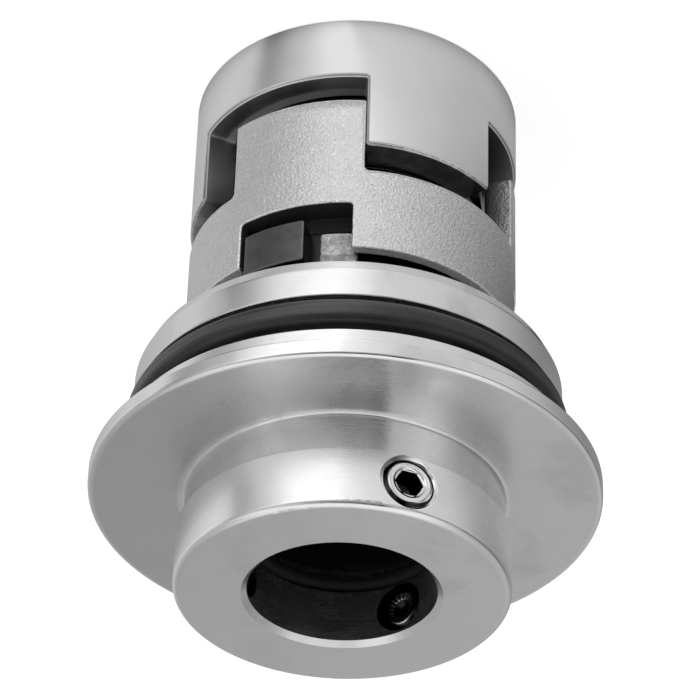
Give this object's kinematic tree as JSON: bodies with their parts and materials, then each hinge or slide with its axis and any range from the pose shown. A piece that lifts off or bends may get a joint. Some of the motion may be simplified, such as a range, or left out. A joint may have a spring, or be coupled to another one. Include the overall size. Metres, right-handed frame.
{
  "type": "cartridge mechanical shaft seal",
  "caption": "Cartridge shaft seal: flanged seat carrier with an O-ring, spring-loaded rotary ring, interlocking castellated driver and drive cap, on a sleeve with a set-screw collar.",
  "frame": {"origin": "centre of the drive cap's end face, on which the seal stands; the shaft's axis runs up from it", "axes": "+Z along the shaft's axis towards the collar with the set screws; angles count from +X"},
  "size_m": [0.0602, 0.0602, 0.0698],
  "materials": {
    "turned_steel": "turned satin",
    "cap_steel": "smooth satin",
    "cast_steel": "bead blasted",
    "screw_steel": "bright machined",
    "spring_steel": "drawn wire",
    "carbide": "lapped dark carbide",
    "o_ring_rubber": "smooth black"
  },
  "bodies": {
    "rotor": {"shaft_sleeve": "turned_steel", "sleeve_o_ring": "o_ring_rubber", "drive_cap": "cap_steel", "retaining_ring": "spring_steel", "spring": "spring_steel"},
    "thrust": {"spring_washer": "turned_steel"},
    "driving": {"driver": "cast_steel"},
    "rotary": {"rotary_ring": "carbide", "ring_o_ring": "o_ring_rubber"},
    "stator": {"seat_carrier": "turned_steel", "carrier_o_ring": "o_ring_rubber", "stationary_seat": "carbide", "seat_o_ring": "o_ring_rubber", "seat_pin_1": "turned_steel", "seat_pin_2": "turned_steel"},
    "screw_1": {"set_screw_1": "screw_steel"},
    "screw_2": {"set_screw_2": "screw_steel"},
    "screw_3": {"set_screw_3": "screw_steel"}
  },
  "joints": [
    {"name": "spring_travel", "type": "slide", "parent": "rotor", "child": "thrust", "axis": [0, 0, 1], "range_m": [-0.003, 0], "stiffness_N_per_m": 5000, "springref_m": 0.01, "deforming": ["spring"]},
    {"name": "driver_play", "type": "hinge", "parent": "thrust", "child": "driving", "pos_m": [0, 0, 0.024], "axis": [0, 0, 1], "range_deg": [0, 19.2]},
    {"name": "ring_play", "type": "hinge", "parent": "driving", "child": "rotary", "pos_m": [0, 0, 0.03], "axis": [0, 0, 1], "range_deg": [-4.4, 1]},
    {"name": "seal_turn", "type": "hinge", "parent": "rotary", "child": "stator", "pos_m": [0, 0, 0.0382], "axis": [0, 0, 1], "continuous": true},
    {"name": "screw_1_travel", "type": "slide", "parent": "rotor", "child": "screw_1", "axis": [-0.3665, -0.9304, 0], "range_m": [-0.0001, 0.002]},
    {"name": "screw_2_travel", "type": "slide", "parent": "rotor", "child": "screw_2", "axis": [0.989, 0.1478, 0], "range_m": [-0.0001, 0.002]},
    {"name": "screw_3_travel", "type": "slide", "parent": "rotor", "child": "screw_3", "axis": [-0.6225, 0.7826, 0], "range_m": [-0.0001, 0.002]}
  ]
}
